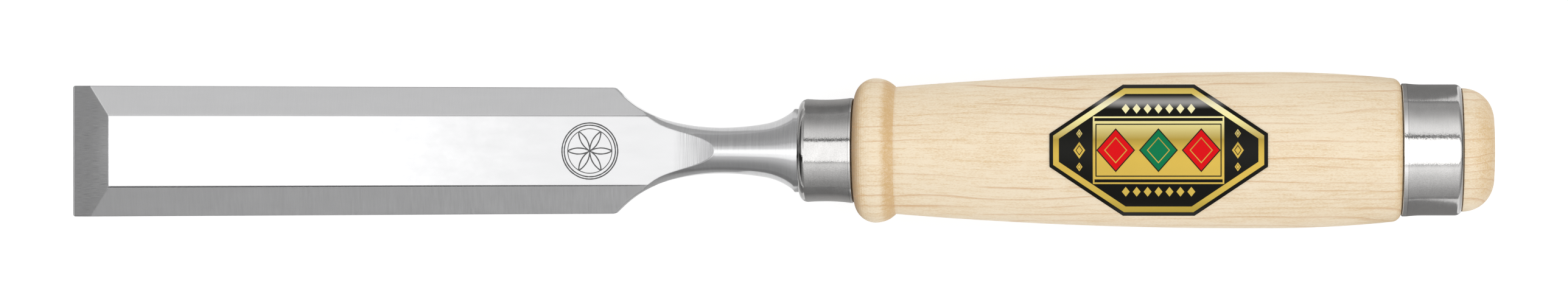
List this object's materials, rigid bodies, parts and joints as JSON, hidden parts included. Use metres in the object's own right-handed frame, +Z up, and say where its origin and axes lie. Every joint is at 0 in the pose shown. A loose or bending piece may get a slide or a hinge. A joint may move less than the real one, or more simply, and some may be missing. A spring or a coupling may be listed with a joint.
{
  "type": "bench chisel",
  "caption": "Bevel-edge bench chisel: forged blade with neck and bolster, turned wooden handle with bead, front ferrule, striking hoop and foil label, resting on a flat surface.",
  "frame": {"origin": "on the surface that the chisel lies on, under the middle of its length and on its middle plane", "axes": "+X from the cutting edge towards the striking end, +Y across the blade, +Z up; the handle's axis rises 4.5 degrees towards +X, as the tool rests on its cutting edge and the bead of its handle"},
  "size_m": [0.2794, 0.0304, 0.036],
  "materials": {
    "blade_steel": "ground and lightly polished",
    "ring_steel": "polished",
    "handle_wood": "sanded, thin clear finish",
    "label_foil": "printed foil"
  },
  "bodies": {
    "root": {"blade": "blade_steel", "front_ferrule": "ring_steel", "handle": "handle_wood", "rear_hoop": "ring_steel", "label": "label_foil"}
  },
  "joints": []
}
